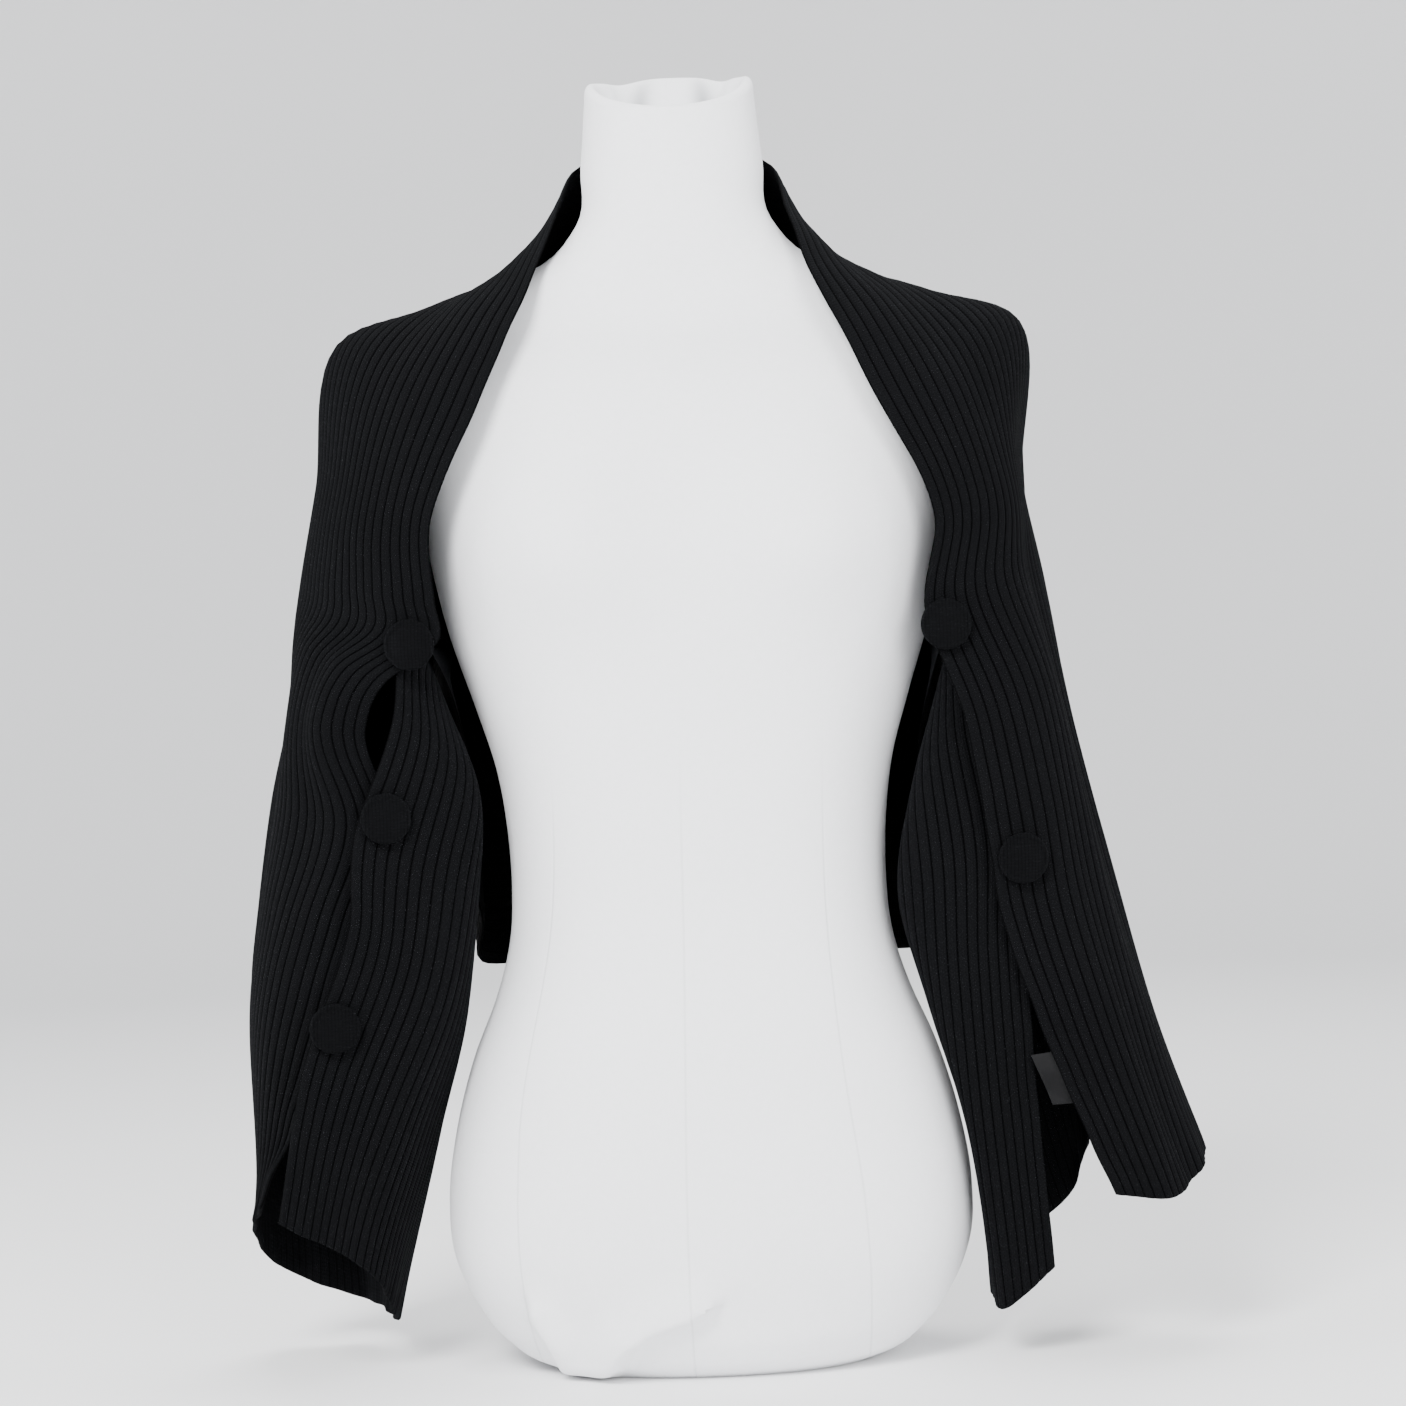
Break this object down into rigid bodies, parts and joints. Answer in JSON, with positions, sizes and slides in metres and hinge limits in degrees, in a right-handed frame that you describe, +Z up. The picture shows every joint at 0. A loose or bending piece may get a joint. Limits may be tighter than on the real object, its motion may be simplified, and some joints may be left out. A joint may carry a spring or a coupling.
{
  "type": "ribbed knit shrug on dress form",
  "caption": "Open-front ribbed knit shrug, one wrap of cloth buttoned into two wide sleeves, draped on a limbless dress form with a flat base.",
  "frame": {"origin": "centre of the dress form's flat bottom face", "axes": "+Z up, -Y the garment's front, X across the shoulders; left is -X and right +X, as seen from the front"},
  "size_m": [0.6, 0.2449, 0.7985],
  "materials": {
    "form_cover": "white stretch jersey cover, matt",
    "rib_knit": "black rib knit, matt, fine even ribs",
    "button_cloth": "black knit cloth drawn over a domed button",
    "satin": "black satin ribbon, soft sheen, bare"
  },
  "bodies": {
    "root": {"dress_form": "form_cover", "wrap_back": "rib_knit", "wrap_left_sleeve": "rib_knit", "wrap_right_sleeve": "rib_knit", "button_left_1": "button_cloth", "button_left_2": "button_cloth", "button_left_3": "button_cloth", "button_right_1": "button_cloth", "button_right_2": "button_cloth", "care_label": "satin"}
  },
  "joints": []
}
